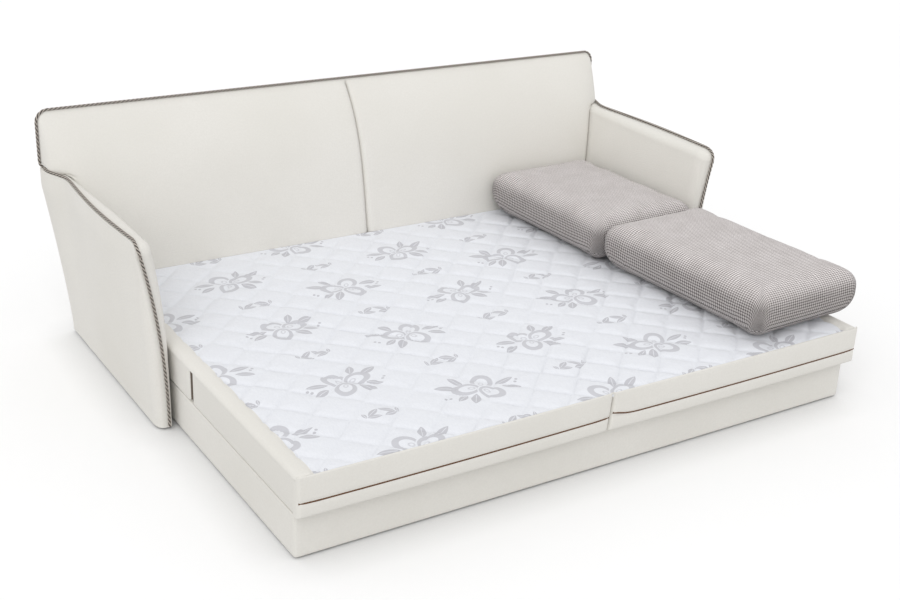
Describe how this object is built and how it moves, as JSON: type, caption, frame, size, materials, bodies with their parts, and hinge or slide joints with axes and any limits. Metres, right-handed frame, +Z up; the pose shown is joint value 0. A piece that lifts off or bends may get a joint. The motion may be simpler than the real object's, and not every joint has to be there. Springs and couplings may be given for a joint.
{
  "type": "sleeper sofa",
  "caption": "Upholstered three-seat sleeper sofa with the bed made up: the front mattress section folds over onto the rear one and the base slides in as a drawer.",
  "frame": {"origin": "on the floor, in the middle of the whole sofa's length and depth with the bed out", "axes": "+X along the sofa towards its right arm as seen from the front, +Y from the bed's front edge to the backrest, +Z up"},
  "size_m": [2.4698, 1.825, 0.8789],
  "materials": {
    "cream_fabric": "smooth off-white upholstery cloth with a short brushed nap",
    "quilted_ticking": "white quilted ticking with a woven silver-grey flower pattern",
    "grey_weave": "taupe-grey basket weave",
    "trim_cord": "twisted two-tone upholstery cord",
    "strip_cloth": "plain woven hinge strip",
    "frame_timber": "planed pale softwood",
    "runner_steel": "zinc-plated sheet steel",
    "glide_plastic": "dark moulded plastic"
  },
  "bodies": {
    "sofa_frame": {"rear_mattress": "quilted_ticking", "back_pad_left": "cream_fabric", "back_pad_right": "cream_fabric", "rear_panel": "cream_fabric", "arm_cover_left": "cream_fabric", "arm_cover_right": "cream_fabric", "hinge_strip": "strip_cloth", "back_top_rail": "frame_timber", "back_upright_left": "frame_timber", "back_upright_centre": "frame_timber", "back_upright_right": "frame_timber", "arm_panel_left": "frame_timber", "arm_panel_right": "frame_timber", "base_front_beam": "frame_timber", "base_rear_rail": "frame_timber", "base_side_rail_left": "frame_timber", "base_side_rail_right": "frame_timber", "base_leg_left": "frame_timber", "base_leg_centre": "frame_timber", "base_leg_right": "frame_timber", "fixed_slat_1": "frame_timber", "fixed_slat_2": "frame_timber", "fixed_slat_3": "frame_timber", "fixed_slat_4": "frame_timber", "fixed_slat_5": "frame_timber", "fixed_slat_6": "frame_timber", "glide_left_front": "glide_plastic", "glide_left_rear": "glide_plastic", "glide_right_front": "glide_plastic", "glide_right_rear": "glide_plastic", "back_trim": "trim_cord", "arm_trim_left": "trim_cord", "arm_trim_right": "trim_cord", "runner_rail_left": "runner_steel", "runner_rail_right": "runner_steel"},
    "folding_section": {"front_mattress": "quilted_ticking", "front_border_left": "cream_fabric", "front_border_right": "cream_fabric"},
    "base_drawer": {"drawer_front": "cream_fabric", "drawer_side_left": "cream_fabric", "drawer_side_right": "cream_fabric", "slat_ledger": "frame_timber", "slat_tie": "frame_timber", "drawer_slat_1": "frame_timber", "drawer_slat_2": "frame_timber", "drawer_slat_3": "frame_timber", "drawer_slat_4": "frame_timber", "drawer_slat_5": "frame_timber", "runner_slide_left": "runner_steel", "runner_slide_right": "runner_steel", "castor_fork_left": "runner_steel", "castor_fork_right": "runner_steel", "castor_axle_left": "runner_steel", "castor_axle_right": "runner_steel"},
    "castor_left": {"castor_wheel_left": "glide_plastic"},
    "castor_right": {"castor_wheel_right": "glide_plastic"},
    "rear_cushion": {"cushion_rear": "grey_weave"},
    "front_cushion": {"cushion_front": "grey_weave"}
  },
  "joints": [
    {"name": "bed_fold", "type": "hinge", "parent": "sofa_frame", "child": "folding_section", "pos_m": [0, -0.1205, 0.289], "axis": [-1, 0, 0], "range_deg": [0, 180]},
    {"name": "drawer_slide", "type": "slide", "parent": "sofa_frame", "child": "base_drawer", "axis": [0, 1, 0], "range_m": [0, 0.709]},
    {"name": "castor_left_spin", "type": "hinge", "parent": "base_drawer", "child": "castor_left", "pos_m": [-0.8, -0.7862, 0.03], "axis": [1, 0, 0], "continuous": true},
    {"name": "castor_right_spin", "type": "hinge", "parent": "base_drawer", "child": "castor_right", "pos_m": [0.8, -0.7862, 0.03], "axis": [1, 0, 0], "continuous": true},
    {"name": "rear_cushion_lift", "type": "slide", "parent": "sofa_frame", "child": "rear_cushion", "axis": [0, 0, 1], "range_m": [0, 1.571]},
    {"name": "front_cushion_slide", "type": "slide", "parent": "folding_section", "child": "front_cushion", "axis": [0.9285, -0.3714, 0], "range_m": [0, 1.355]}
  ],
  "couplings": [
    {"joint": "rear_cushion_lift", "follows": "bed_fold", "m_per_rad": 0.5},
    {"joint": "front_cushion_slide", "follows": "bed_fold", "m_per_rad": 0.431}
  ]
}
